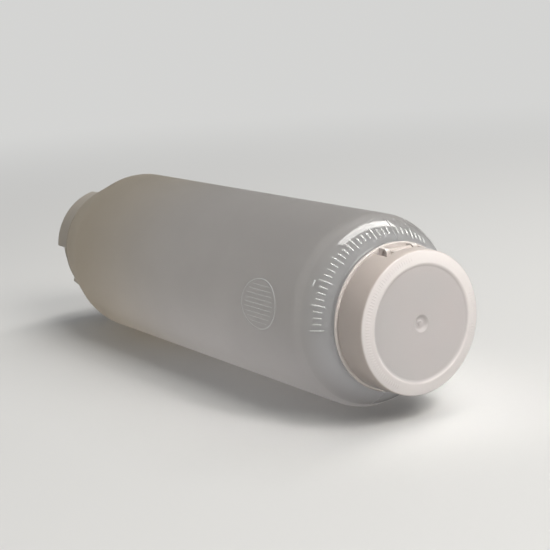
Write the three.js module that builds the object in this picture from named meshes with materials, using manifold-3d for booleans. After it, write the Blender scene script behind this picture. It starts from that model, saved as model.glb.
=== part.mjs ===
// Two-ended squeeze bottle for sauces, lying on its side as it is stored on a counter.
// A blow-moulded barrel has a threaded neck at each end: one carries a dispensing collar
// with a slit valve under a hinged flip lid, the other a screw cap for refilling.
// Millimetres, +Z up. The bottle's axis runs along X, with the dispensing end at +X, and
// the origin is the middle of the line that the barrel rests on.

import * as THREE from 'three';
import { mergeVertices } from 'three/addons/utils/BufferGeometryUtils.js';
import Module from 'manifold-3d';

const wasm = await Module();
wasm.setup();

// Barrel and shoulders
const barrelDiameter = 73;
const barrelLength = 178.1;
const barrelWall = 1.2;
const frontShoulderLength = 12.8;
const frontShoulderEndRadius = 29.9;
const frontShoulderRound = 8;
const backShoulderLength = 25.5;
const backShoulderEndRadius = 28.2;
const backShoulderRound = 12;
const shoulderEdgeRound = 1.6;

// Necks, alike at both ends but for their height
const neckRadius = 19.8;
const neckWall = 2;
const frontNeckHeight = 9.4;
const backNeckHeight = 11.9;
const neckFootWidth = 1.8;
const neckRootRound = 1.2;
const neckLipRound = 0.5;
const threadAllowance = 1.6;

// Fits: what faces another piece stays this far from it
const seatGap = 0.3;
const runningGap = 0.3;
const cutOverrun = 1;

// Dispensing collar
const collarShoulderGap = 1.1;
const flangeReach = 4.8;
const flangeThickness = 1.4;
const flangeEdgeRound = 0.5;
const collarWall = 1.5;
const collarDraft = 0.2;
const collarEdgeRound = 1;
const deckThickness = 1.5;
const gasketThickness = 1;
const gasketWidth = 2.4;
const orificeClearance = 0.4;
const orificeTaper = 0.3;
const valveSeatClearance = 0.4;
const bossWall = 1.4;
const bossLeadIn = 0.5;
const snapBeadHeight = 0.6;
const snapBeadWidth = 0.6;
const thumbScoopRadius = 9;
const thumbScoopDepth = 0.9;

// Slit valve and the ring that holds it
const valveHeadRadius = 5;
const valveHeadThickness = 0.9;
const valveDishDepth = 2.4;
const valveSleeveReach = 1.4;
const valveFlangeReach = 3.2;
const valveFlangeThickness = 1.2;
const slitLengthShare = 0.64;
const slitWidth = 0.35;
const retainerThickness = 2;
const retainerBoreClearance = 0.5;
const retainerChamfer = 0.5;

// Flip lid
const lidFlangeGap = 0.4;
const lidHeadroom = 2.1;
const lidPanelThickness = 1.6;
const lidRimThickness = 1.8;
const faceRecess = 0.9;
const faceRingWidth = 4.3;
const faceRingSlope = 0.6;
const lidInset = 0.8;
const lidDraft = 0.4;
const lidWall = 1.6;
const lidEdgeRound = 2.2;
const lidInnerRound = 1;
const gateDimpleRadius = 2.6;
const gateDimpleFloorRadius = 1.2;
const gateDimpleDepth = 0.5;
const plugClearance = 0.5;
const plugWall = 1.1;
const plugReach = 0.9;
const plugTaper = 0.2;

// Beads that snap the lid shut, left out beside the hinge
const collarBeadReach = 1.5;
const lidBeadReach = 0.4;
const lidBeadWidth = 0.8;
const beadClearAngle = 60;

// Hinge: a bar on two arms of the lid, with stubs that turn in two ears of the collar
const hingeInset = 2.8;
const hingeAxisFromFace = 11.8;
const hingeBarRadius = 1.5;
const hingeBarLength = 9.8;
const hingeStubRadius = 0.75;
const hingeStubLength = 1.6;
const earThickness = 1.8;
const earNoseRadius = 1.8;
const earBaseWidth = 3.2;
const earTopTrim = 0.2;
const armWidth = 2;
const armThickness = 1.4;
const hingePocketHalfAngle = 21;
const hingePocketFromFace = 6.9;

// Refill cap
const capShoulderGap = 0.9;
const capSealThickness = 1;
const capPanelThickness = 1.3;
const capFaceRecess = 0.7;
const capFaceRingWidth = 3.2;
const capInset = 1.4;
const capDraft = 0.4;
const capEdgeRound = 1.6;
const capSkirtWall = 1.3;
const capShellWall = 1.4;
const gripNotchCount = 3;
const gripNotchAngle = 42;
const gripNotchTurn = -109;

// Faces of a turned surface. The barrel has few, so that it lies still on one of them.
const barrelFacets = 32;
const closureFacets = 48;
const smallFacets = 32;
const pinFacets = 16;
const chordError = 0.06;
const filletLimitShare = 0.48;

// Colours read from the moulded plastics and the rubber
const milkyBottle = { color: 0xb9b4ac, roughness: 0.42, metalness: 0 };
const pinkishWhite = { color: 0xe6dcd6, roughness: 0.38, metalness: 0 };
const paleLiner = { color: 0xf2efe8, roughness: 0.7, metalness: 0 };
const clearRubber = { color: 0xd8dadc, roughness: 0.3, metalness: 0 };
const retainerWhite = { color: 0xeeeae6, roughness: 0.4, metalness: 0 };

// Places that several pieces share
const barrelRadius = barrelDiameter / 2;
const neckFootRadius = neckRadius + neckFootWidth;
const neckSeatRadius = neckFootRadius + seatGap;
const collarBore = neckRadius + threadAllowance;
const collarRadius = collarBore + collarWall;
const flangeRadius = collarRadius + flangeReach;
const collarFlangeFront = collarShoulderGap + flangeThickness;
const gasketBack = frontNeckHeight + seatGap;
const deckUnderside = gasketBack + gasketThickness + seatGap;
const deckFront = deckUnderside + deckThickness;
const valveSleeveRadius = valveHeadRadius + valveSleeveReach;
const valveFlangeRadius = valveSleeveRadius + valveFlangeReach;
const valveSeatRadius = valveFlangeRadius + valveSeatClearance;
const orificeRadius = valveSleeveRadius + orificeClearance;
const valveFlangeFront = deckUnderside - seatGap;
const valveFlangeBack = valveFlangeFront - valveFlangeThickness;
const retainerFront = valveFlangeBack - seatGap;
const retainerBack = retainerFront - retainerThickness;
const lidUnderside = deckFront + lidHeadroom;
const recessFloor = lidUnderside + lidPanelThickness;
const lidFace = recessFloor + faceRecess;
const lidRear = collarFlangeFront + lidFlangeGap;
const lidRearRadius = flangeRadius - lidInset;
const lidRearInnerRadius = lidRearRadius - lidWall;
const lidFrontRadius = lidRearRadius - lidDraft;
const faceRingInnerRadius = lidFrontRadius - faceRingWidth;
const hingeAxial = lidFace - hingeAxisFromFace;
const hingeAxisHeight = flangeRadius - hingeInset;
const pocketFront = lidFace - hingePocketFromFace;
const capSealBack = backNeckHeight + seatGap;
const capUnderside = capSealBack + capSealThickness + seatGap;
const capRecessFloor = capUnderside + capPanelThickness;
const capFace = capRecessFloor + capFaceRecess;
const capFlangeFront = capShoulderGap + flangeThickness;
const capRearRadius = flangeRadius - capInset;
const capFrontRadius = capRearRadius - capDraft;
const capSkirtRadius = collarBore + capSkirtWall;
const overallLength =
  lidFace + frontShoulderLength + barrelLength + backShoulderLength + capFace;
const frontRootX = overallLength / 2 - lidFace;
const backRootX = capFace - overallLength / 2;
const barrelFrontX = frontRootX - frontShoulderLength;
const barrelBackX = backRootX + backShoulderLength;

// A solid from a closed three.js geometry, with its shared vertices merged
function solidOf(geometry) {
  geometry.deleteAttribute('normal');
  geometry.deleteAttribute('uv');
  const merged = mergeVertices(geometry);
  const source = merged.index.array;
  const triangles = [];
  for (let i = 0; i < source.length; i += 3) {
    const [a, b, c] = source.slice(i, i + 3);
    if (a !== b && b !== c && c !== a) triangles.push(a, b, c);
  }
  return new wasm.Manifold(new wasm.Mesh({
    numProp: 3,
    vertProperties: new Float32Array(merged.attributes.position.array),
    triVerts: new Uint32Array(triangles),
  }));
}

// A named mesh from a solid
function pieceOf(name, solid, finish) {
  const { vertProperties, triVerts } = solid.getMesh();
  const geometry = new THREE.BufferGeometry();
  geometry.setAttribute('position', new THREE.BufferAttribute(vertProperties, 3));
  geometry.setIndex(new THREE.BufferAttribute(triVerts, 1));
  geometry.computeVertexNormals();
  const mesh = new THREE.Mesh(geometry, new THREE.MeshStandardMaterial(finish));
  mesh.name = name;
  return mesh;
}

// A closed outline from corners [axial, radius, fillet], each fillet drawn as an arc
function outline(corners) {
  const points = [];
  corners.forEach(([x, y, fillet = 0], i) => {
    const corner = new THREE.Vector2(x, y);
    if (fillet === 0) {
      points.push(corner);
      return;
    }
    const before = corners[(i + corners.length - 1) % corners.length];
    const after = corners[(i + 1) % corners.length];
    const toBefore = new THREE.Vector2(before[0], before[1]).sub(corner);
    const toAfter = new THREE.Vector2(after[0], after[1]).sub(corner);
    const reach = filletLimitShare * Math.min(toBefore.length(), toAfter.length());
    toBefore.normalize();
    toAfter.normalize();
    const halfAngle = Math.acos(toBefore.dot(toAfter)) / 2;
    const tangent = Math.min(fillet / Math.tan(halfAngle), reach);
    const radius = tangent * Math.tan(halfAngle);
    const bisector = toBefore.clone().add(toAfter).normalize();
    const centre = corner.clone().addScaledVector(bisector, radius / Math.sin(halfAngle));
    const start = corner.clone().addScaledVector(toBefore, tangent).sub(centre).angle();
    const end = corner.clone().addScaledVector(toAfter, tangent).sub(centre).angle();
    const sweep = THREE.MathUtils.euclideanModulo(end - start + Math.PI, 2 * Math.PI) - Math.PI;
    const stepAngle = 2 * Math.acos(1 - Math.min(1, chordError / radius));
    const steps = Math.ceil(Math.abs(sweep) / stepAngle);
    for (let step = 0; step <= steps; step += 1) {
      const angle = start + (sweep * step) / steps;
      points.push(new THREE.Vector2(Math.cos(angle), Math.sin(angle))
        .multiplyScalar(radius).add(centre));
    }
  });
  return points;
}

// An outline turned round the X axis. The flats touch the true radius, and one faces down.
function turned(corners, facets) {
  const onFlats = 1 / Math.cos(Math.PI / facets);
  const points = outline(corners).map((p) => new THREE.Vector2(p.y * onFlats, p.x));
  if (!corners.some((corner) => corner[1] === 0)) points.push(points[0].clone());
  if (THREE.ShapeUtils.area(points) < 0) points.reverse();
  const geometry = new THREE.LatheGeometry(points, facets, Math.PI / facets);
  return solidOf(geometry.rotateZ(-Math.PI / 2));
}

// A round bar along Y
function barAlongY(radius, length, x, z) {
  const geometry = new THREE.CylinderGeometry(radius, radius, length, pinFacets);
  return solidOf(geometry.translate(x, 0, z));
}

// A block between two corners
function block(low, high) {
  const size = high.map((value, i) => value - low[i]);
  const middle = high.map((value, i) => (value + low[i]) / 2);
  return solidOf(new THREE.BoxGeometry(...size).translate(...middle));
}

// A ring sector round X between two radii, centred on a turn from the top in degrees
function ringSector(innerRadius, outerRadius, halfAngle, turn, fromX, toX) {
  const shape = new THREE.Shape();
  const half = THREE.MathUtils.degToRad(halfAngle);
  shape.absarc(0, 0, outerRadius, -half, half, false);
  shape.absarc(0, 0, innerRadius, half, -half, true);
  const curveSegments = Math.ceil((closureFacets * halfAngle) / 180);
  const geometry = new THREE.ExtrudeGeometry(shape, {
    depth: toX - fromX, bevelEnabled: false, curveSegments,
  });
  // The shape's +X becomes +Z, and its depth becomes +X
  geometry.rotateZ(Math.PI / 2).rotateX(Math.PI / 2).rotateZ(Math.PI / 2);
  geometry.translate(fromX, 0, 0);
  return solidOf(geometry.rotateX(THREE.MathUtils.degToRad(turn)));
}

// Bottle body: one blown shell, with a round seat for a neck in each end
function bottleBody() {
  const frontTurn = Math.atan2(barrelRadius - frontShoulderEndRadius, frontShoulderLength);
  const backTurn = Math.atan2(barrelRadius - backShoulderEndRadius, backShoulderLength);
  const innerRadius = barrelRadius - barrelWall;
  const innerEndRadius = (endRadius, turn) =>
    endRadius - barrelWall / Math.cos(turn) + barrelWall * Math.tan(turn);
  return turned([
    [frontRootX, neckSeatRadius],
    [frontRootX, frontShoulderEndRadius, shoulderEdgeRound],
    [barrelFrontX, barrelRadius, frontShoulderRound],
    [barrelBackX, barrelRadius, backShoulderRound],
    [backRootX, backShoulderEndRadius, shoulderEdgeRound],
    [backRootX, neckSeatRadius],
    [backRootX + barrelWall, neckSeatRadius],
    [backRootX + barrelWall, innerEndRadius(backShoulderEndRadius, backTurn)],
    [barrelBackX + barrelWall * Math.tan(backTurn / 2), innerRadius, backShoulderRound],
    [barrelFrontX - barrelWall * Math.tan(frontTurn / 2), innerRadius, frontShoulderRound],
    [frontRootX - barrelWall, innerEndRadius(frontShoulderEndRadius, frontTurn)],
    [frontRootX - barrelWall, neckSeatRadius],
  ], barrelFacets);
}

// Neck: a tube on a foot that fills the seat in the shoulder's end
function bottleNeck(height) {
  const boreRadius = neckRadius - neckWall;
  return turned([
    [height, boreRadius],
    [height, neckRadius, neckLipRound],
    [0, neckRadius, neckRootRound],
    [0, neckFootRadius],
    [-barrelWall, neckFootRadius],
    [-barrelWall, boreRadius, neckRootRound],
  ], smallFacets);
}

// A snap bead: a low triangular ring round X, cut off beside the hinge
function snapBead(baseRadius, crestRadius, middleX, width) {
  const ring = turned([
    [middleX - width, baseRadius],
    [middleX, crestRadius],
    [middleX + width, baseRadius],
  ], closureFacets);
  const cutHeight = Math.min(baseRadius, crestRadius)
    * Math.cos(THREE.MathUtils.degToRad(beadClearAngle));
  return ring.subtract(block(
    [middleX - width - cutOverrun, -flangeRadius, cutHeight],
    [middleX + width + cutOverrun, flangeRadius, flangeRadius + cutOverrun],
  ));
}

// One ear of the collar, on the side given by +1 or -1
function hingeEar(side) {
  const inner = hingeBarLength / 2 + runningGap;
  const front = hingeAxial + earNoseRadius;
  const foot = collarRadius - collarWall;
  const shape = new THREE.Shape();
  shape.moveTo(collarShoulderGap + flangeThickness / 2, foot);
  shape.lineTo(hingeAxial + earBaseWidth, foot);
  shape.lineTo(front, hingeAxisHeight - earNoseRadius / 2);
  shape.lineTo(front, hingeAxisHeight);
  shape.absarc(hingeAxial, hingeAxisHeight, earNoseRadius, 0, Math.PI / 2, false);
  shape.lineTo(collarShoulderGap + flangeThickness / 2, hingeAxisHeight + earNoseRadius);
  const geometry = new THREE.ExtrudeGeometry(shape, {
    depth: earThickness, bevelEnabled: false, curveSegments: pinFacets / 4,
  });
  geometry.rotateX(Math.PI / 2).translate(0, side > 0 ? inner + earThickness : -inner, 0);
  return solidOf(geometry);
}

// Dispensing collar: flange, threaded drum, deck with the orifice, valve boss and hinge ears
function dispensingCollar() {
  const bossRadius = valveSeatRadius + bossWall;
  const beadTop = retainerBack - seatGap;
  const bossBack = beadTop - snapBeadWidth - 2 * bossLeadIn;
  const beadRadius = valveSeatRadius - snapBeadHeight;
  let collar = turned([
    [deckFront, orificeRadius, orificeTaper],
    [deckFront, collarRadius, collarEdgeRound],
    [collarFlangeFront, collarRadius + collarDraft, flangeEdgeRound],
    [collarFlangeFront, flangeRadius, flangeEdgeRound],
    [collarShoulderGap, flangeRadius, flangeEdgeRound],
    [collarShoulderGap, collarBore],
    [deckUnderside, collarBore],
    [deckUnderside, bossRadius],
    [bossBack, bossRadius],
    [bossBack, valveSeatRadius + bossLeadIn / 2],
    [beadTop - snapBeadWidth, beadRadius],
    [beadTop, beadRadius],
    [beadTop + bossLeadIn, valveSeatRadius],
    [deckUnderside, valveSeatRadius],
    [deckUnderside, orificeRadius - orificeTaper],
  ], closureFacets);
  collar = collar.add(snapBead(
    collarRadius - collarWall / 2, collarRadius + collarBeadReach,
    collarFlangeFront + collarBeadReach + lidFlangeGap, collarBeadReach,
  ));
  const stubBore = barAlongY(
    hingeStubRadius + runningGap, hingeBarLength + 4 * earThickness, hingeAxial, hingeAxisHeight,
  );
  const trim = turned([
    [0, 0],
    [0, flangeRadius - earTopTrim],
    [deckFront, flangeRadius - earTopTrim],
    [deckFront, 0],
  ], closureFacets);
  const core = turned([
    [0, 0],
    [0, collarBore + collarWall / 2],
    [deckFront, collarBore + collarWall / 2],
    [deckFront, 0],
  ], closureFacets);
  const ears = hingeEar(1).add(hingeEar(-1)).intersect(trim).subtract(core);
  const scoop = new THREE.CylinderGeometry(
    thumbScoopRadius, thumbScoopRadius, flangeRadius, closureFacets,
  );
  scoop.rotateX(Math.PI / 2).translate(
    collarFlangeFront + thumbScoopRadius - thumbScoopDepth,
    0,
    -collarRadius - collarBeadReach - flangeRadius / 2,
  );
  return collar.add(ears).subtract(stubBore).subtract(solidOf(scoop));
}

// Gasket between the neck's lip and the collar's deck
function collarGasket() {
  const outer = neckRadius + threadAllowance / 2;
  return turned([
    [gasketBack, outer - gasketWidth],
    [gasketBack, outer],
    [gasketBack + gasketThickness, outer],
    [gasketBack + gasketThickness, outer - gasketWidth],
  ], closureFacets);
}

// Valve: a flange, a thin sleeve and a dished head with two crossed slits
function slitValve() {
  const dishFloor = valveFlangeFront - valveDishDepth;
  const dishSide = (dishFloor + valveFlangeFront) / 2;
  const valve = turned([
    [dishFloor, 0],
    [dishFloor, valveHeadRadius / 2, valveHeadRadius / 2],
    [dishSide, valveHeadRadius, valveHeadThickness],
    [valveFlangeFront, valveSleeveRadius - valveHeadThickness / 2, valveHeadThickness],
    [valveFlangeFront, valveFlangeRadius],
    [valveFlangeBack, valveFlangeRadius],
    [valveFlangeBack, valveSleeveRadius],
    [dishSide - valveHeadThickness, valveHeadRadius + valveHeadThickness / 2, valveHeadThickness],
    [dishFloor - valveHeadThickness, valveHeadRadius / 2, valveHeadRadius / 2],
    [dishFloor - valveHeadThickness, 0],
  ], smallFacets);
  const slitLow = dishFloor - valveHeadThickness - cutOverrun;
  const slitReach = valveHeadRadius * slitLengthShare;
  const slit = block(
    [slitLow, -slitWidth / 2, -slitReach],
    [valveFlangeFront, slitWidth / 2, slitReach],
  );
  return valve.subtract(slit).subtract(slit.rotate(90, 0, 0));
}

// Ring that snaps into the collar's boss behind the valve
function valveRetainer() {
  const outer = valveSeatRadius - runningGap;
  const inner = valveSleeveRadius + retainerBoreClearance;
  return turned([
    [retainerBack, inner, retainerChamfer],
    [retainerBack, outer, retainerChamfer],
    [retainerFront, outer],
    [retainerFront, inner],
  ], smallFacets);
}

// Flip lid: a deep cap with a recessed face, a sealing plug and the hinge's bar and arms
function flipLid() {
  const rimUnderside = lidFace - lidRimThickness;
  const innerFrontRadius = lidFrontRadius - lidWall;
  const plugTip = deckFront - plugReach;
  const plugOuter = orificeRadius - plugClearance;
  const plugInner = plugOuter - plugWall;
  let lid = turned([
    [recessFloor - gateDimpleDepth, 0],
    [recessFloor - gateDimpleDepth, gateDimpleFloorRadius, gateDimpleDepth],
    [recessFloor, gateDimpleRadius, gateDimpleDepth],
    [recessFloor, faceRingInnerRadius - faceRingSlope, faceRingSlope],
    [lidFace, faceRingInnerRadius, faceRingSlope],
    [lidFace, lidFrontRadius, lidEdgeRound],
    [lidRear, lidRearRadius],
    [lidRear, lidRearInnerRadius],
    [rimUnderside, innerFrontRadius, lidInnerRound],
    [rimUnderside, faceRingInnerRadius],
    [lidUnderside, faceRingInnerRadius - faceRingSlope],
    [lidUnderside, plugOuter, plugTaper],
    [plugTip, plugOuter - plugTaper],
    [plugTip, plugInner],
    [lidUnderside, plugInner, plugTaper],
    [lidUnderside, 0],
  ], closureFacets);
  lid = lid.add(snapBead(
    lidRearInnerRadius + lidWall / 2, lidRearInnerRadius - lidBeadReach,
    lidRear + lidBeadWidth, lidBeadWidth,
  ));
  const pocket = ringSector(
    collarRadius, flangeRadius + cutOverrun, hingePocketHalfAngle, 0,
    lidRear - cutOverrun, pocketFront,
  );
  lid = lid.subtract(pocket);
  const bar = barAlongY(hingeBarRadius, hingeBarLength, hingeAxial, hingeAxisHeight);
  const stubs = barAlongY(
    hingeStubRadius, hingeBarLength + 2 * (runningGap + hingeStubLength),
    hingeAxial, hingeAxisHeight,
  );
  lid = lid.add(bar).add(stubs);
  for (const side of [-1, 1]) {
    const outerEdge = side * (hingeBarLength / 2);
    const innerEdge = side * (hingeBarLength / 2 - armWidth);
    lid = lid.add(block(
      [hingeAxial, Math.min(outerEdge, innerEdge), hingeAxisHeight - armThickness / 2],
      [pocketFront + lidWall / 2, Math.max(outerEdge, innerEdge), hingeAxisHeight + armThickness / 2],
    ));
  }
  return lid;
}

// Refill cap: a flanged drum with grip notches, hollow lobes and a skirt for the neck
function refillCap() {
  const ringInner = capFrontRadius - capEdgeRound - capFaceRingWidth;
  let cap = turned([
    [capRecessFloor - gateDimpleDepth, 0],
    [capRecessFloor - gateDimpleDepth, gateDimpleFloorRadius, gateDimpleDepth],
    [capRecessFloor, gateDimpleRadius, gateDimpleDepth],
    [capRecessFloor, ringInner - faceRingSlope],
    [capFace, ringInner],
    [capFace, capFrontRadius, capEdgeRound],
    [capFlangeFront, capRearRadius],
    [capFlangeFront, flangeRadius, flangeEdgeRound],
    [capShoulderGap, flangeRadius, flangeEdgeRound],
    [capShoulderGap, collarBore],
    [capUnderside, collarBore],
    [capUnderside, 0],
  ], closureFacets);
  const lobeAngle = 360 / gripNotchCount - gripNotchAngle;
  const lobeWallAngle = THREE.MathUtils.radToDeg(capShellWall / capFrontRadius);
  for (let i = 0; i < gripNotchCount; i += 1) {
    const notchTurn = gripNotchTurn + (i * 360) / gripNotchCount;
    const lobeTurn = notchTurn + 180 / gripNotchCount;
    cap = cap.subtract(ringSector(
      capSkirtRadius, flangeRadius, gripNotchAngle / 2, notchTurn,
      capFlangeFront, capFace + cutOverrun,
    ));
    cap = cap.subtract(ringSector(
      capSkirtRadius, capFrontRadius - capShellWall, lobeAngle / 2 - lobeWallAngle, lobeTurn,
      0, capFace - capFaceRecess - capShellWall,
    ));
  }
  return cap;
}

// Seal disc in the refill cap
function refillSeal() {
  const outer = neckRadius + threadAllowance / 2;
  return turned([
    [capSealBack, 0],
    [capSealBack, outer],
    [capSealBack + capSealThickness, outer],
    [capSealBack + capSealThickness, 0],
  ], closureFacets);
}

const bottle = new THREE.Group();
bottle.name = 'sauce_bottle';
bottle.position.z = barrelRadius;
bottle.add(pieceOf('bottle_body', bottleBody(), milkyBottle));

// The dispensing end: its pieces are drawn outward from the front shoulder
const dispensingEnd = new THREE.Group();
dispensingEnd.name = 'dispensing_end';
dispensingEnd.position.x = frontRootX;
dispensingEnd.add(pieceOf('front_neck', bottleNeck(frontNeckHeight), milkyBottle));
dispensingEnd.add(pieceOf('dispensing_collar', dispensingCollar(), pinkishWhite));
dispensingEnd.add(pieceOf('collar_gasket', collarGasket(), paleLiner));
dispensingEnd.add(pieceOf('slit_valve', slitValve(), clearRubber));
dispensingEnd.add(pieceOf('valve_retainer', valveRetainer(), retainerWhite));
dispensingEnd.add(pieceOf('flip_lid', flipLid(), pinkishWhite));
bottle.add(dispensingEnd);

// The refill end: drawn the same way from the back shoulder, then turned to face -X
const refillEnd = new THREE.Group();
refillEnd.name = 'refill_end';
refillEnd.position.x = backRootX;
refillEnd.rotation.z = Math.PI;
refillEnd.add(pieceOf('back_neck', bottleNeck(backNeckHeight), milkyBottle));
refillEnd.add(pieceOf('refill_cap', refillCap(), pinkishWhite));
refillEnd.add(pieceOf('refill_seal', refillSeal(), paleLiner));
bottle.add(refillEnd);

const sauceBottle = new THREE.Group();
sauceBottle.add(bottle);

export default sauceBottle;
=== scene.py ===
import math

import bmesh
import bpy
from mathutils import Matrix, Vector


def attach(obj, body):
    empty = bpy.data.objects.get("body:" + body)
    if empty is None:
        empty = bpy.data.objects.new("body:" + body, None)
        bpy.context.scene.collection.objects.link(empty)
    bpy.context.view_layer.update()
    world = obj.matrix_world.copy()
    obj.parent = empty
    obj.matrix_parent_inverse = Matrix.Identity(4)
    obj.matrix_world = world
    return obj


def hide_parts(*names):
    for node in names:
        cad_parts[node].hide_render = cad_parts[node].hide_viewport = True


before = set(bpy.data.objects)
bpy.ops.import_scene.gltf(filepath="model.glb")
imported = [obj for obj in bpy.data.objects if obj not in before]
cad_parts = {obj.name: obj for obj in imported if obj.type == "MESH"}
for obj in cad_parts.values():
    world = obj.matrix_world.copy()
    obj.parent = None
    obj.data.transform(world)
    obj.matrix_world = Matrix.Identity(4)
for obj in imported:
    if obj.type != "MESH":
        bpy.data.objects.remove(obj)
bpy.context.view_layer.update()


# Squeeze bottle. One blow-moulded shell of milky low-density polyethylene with a threaded
# neck at each end. The two mould halves met in a plane near the top and bottom of the
# barrel as it lies, and left a hair-thin parting line there.

# Sizes in millimetres, and places along the bottle from the middle of the whole object
AXIS_HEIGHT = 36.5
FRONT_ROOT = 107.4
BACK_ROOT = -109.0
MARK_HEIGHT = 0.1
BARREL_RADIUS = AXIS_HEIGHT - MARK_HEIGHT
BOTTLE_WALL = 1.2
FRONT_SHOULDER = 12.4
BEND_FROM_ROOT = 6.7
SHOULDER_BEND = (FRONT_ROOT - BEND_FROM_ROOT, 33.2)
FRONT_END_RADIUS = 27.4
BACK_SHOULDER = 25.5
BACK_END_RADIUS = 28.2
END_FILLET = 1.6
NECK_RADIUS = 19.8
NECK_BORE = 17.8
NECK_FOOT = 1.4
FOOT_FILLET = 1.2
LIP_FILLET = 0.5
LIP_LENGTH = 2
front_lip = FRONT_ROOT + 9.4
back_lip = BACK_ROOT - 11.9


def rounded(corners, step=0.35):
    """Points of a profile from corners (along, radius, fillet), with each fillet as an arc that
    takes less than half of the shorter side."""
    points = []
    for index, corner in enumerate(corners):
        here = Vector(corner[:2])
        fillet = corner[2] if len(corner) > 2 else 0
        if fillet == 0:
            points.append((here.x, here.y))
            continue
        to_before = Vector(corners[index - 1][:2]) - here
        to_after = Vector(corners[(index + 1) % len(corners)][:2]) - here
        reach = 0.48 * min(to_before.length, to_after.length)
        to_before.normalize()
        to_after.normalize()
        half = math.acos(max(-1, min(1, to_before.dot(to_after)))) / 2
        tangent = min(fillet / math.tan(half), reach)
        radius = tangent * math.tan(half)
        centre = here + (to_before + to_after).normalized() * (radius / math.sin(half))
        first = here + to_before * tangent - centre
        last = here + to_after * tangent - centre
        start = math.atan2(first.y, first.x)
        sweep = (math.atan2(last.y, last.x) - start + math.pi) % math.tau - math.pi
        steps = max(3, math.ceil(abs(sweep) * radius / step))
        for k in range(steps + 1):
            angle = start + sweep * k / steps
            points.append((
                centre.x + radius * math.cos(angle),
                centre.y + radius * math.sin(angle),
            ))
    return points


def spaced(start, end, step):
    """Points from start to end, both kept, no further apart than step."""
    start = Vector(start)
    end = Vector(end)
    count = max(1, math.ceil((end - start).length / step))
    return [tuple(start.lerp(end, k / count)) for k in range(count + 1)]


def around(count, extra=()):
    """Turns in degrees from the top, evenly spaced, with extra ones in place of any too near."""
    turns = [360 * k / count for k in range(count)]
    for turn in extra:
        turn %= 360
        turns = [t for t in turns if abs(t - turn) > 0.12] + [turn]
    return sorted(turns)


def on_axis(x, radius, turn):
    """A place in the row frame in metres, turned right-handed about the axis from the top."""
    angle = math.radians(turn)
    return Vector((
        x, -radius * math.sin(angle), AXIS_HEIGHT + radius * math.cos(angle),
    )) / 1000


def mesh_piece(name, build, crease=32):
    """An object from a bmesh, faces turned outward, smooth but for its sharper edges."""
    bmesh.ops.recalc_face_normals(build, faces=build.faces)
    mesh = bpy.data.meshes.new(name)
    build.to_mesh(mesh)
    build.free()
    mesh.shade_smooth()
    mesh.set_sharp_from_angle(angle=math.radians(crease))
    piece = bpy.data.objects.new(name, mesh)
    bpy.context.scene.collection.objects.link(piece)
    return piece


def turned(name, profile, turns, shape=None, crease=32):
    """A profile turned round the bottle's axis. shape(index, x, radius, turn) may move a point."""
    build = bmesh.new()
    open_ended = profile[0][1] == 0
    rings = []
    for index, (x, radius) in enumerate(profile):
        if radius == 0:
            rings.append([build.verts.new(on_axis(x, 0, 0))] * len(turns))
            continue
        ring = []
        for turn in turns:
            place = shape(index, x, radius, turn) if shape else (x, radius)
            ring.append(build.verts.new(on_axis(*place, turn)))
        rings.append(ring)
    pairs = list(zip(rings, rings[1:])) + ([] if open_ended else [(rings[-1], rings[0])])
    for low, high in pairs:
        for k in range(len(turns)):
            after = (k + 1) % len(turns)
            corners = []
            for vertex in (low[k], low[after], high[after], high[k]):
                if vertex not in corners:
                    corners.append(vertex)
            if len(corners) > 2:
                build.faces.new(corners)
    return mesh_piece(name, build, crease)


THREAD_PITCH = 4.23
THREAD_HEIGHT = 1.1
THREAD_HALF_WIDTH = 0.95
THREAD_FLANK = 0.6
THREAD_RUN_OUT = 0.9
THREAD_STEP = 0.22


def thread_height(x, turn, first, last, shift=0.0):
    """Height of a right-hand thread ridge at a place on a neck or, with a shift, in a closure."""
    phase = (x / THREAD_PITCH - turn / 360 - shift) % 1
    away = abs(phase - 0.5) * THREAD_PITCH
    flank = max(0, min(1, (THREAD_HALF_WIDTH - away) / THREAD_FLANK))
    start = min(1, max(0, (x - first) / THREAD_RUN_OUT))
    end = min(1, max(0, (last - x) / THREAD_RUN_OUT))
    return THREAD_HEIGHT * (3 - 2 * flank) * flank * flank * (start * end)


PARTING_TURN = -9
PARTING_HEIGHT = 0.09
PARTING_HALF_ANGLE = 0.3
parting_edges = [
    PARTING_TURN + half + offset
    for half in (0, 180)
    for offset in (-0.55, -0.2, 0.2, 0.55)
]
front_slope = math.atan2(SHOULDER_BEND[1] - FRONT_END_RADIUS, BEND_FROM_ROOT)
back_slope = math.atan2(BARREL_RADIUS - BACK_END_RADIUS, BACK_SHOULDER)


def inner_end(radius, slope):
    """Radius where the inside of a shoulder meets the inside of its end wall."""
    return radius - BOTTLE_WALL / math.cos(slope) + BOTTLE_WALL * math.tan(slope)


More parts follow.
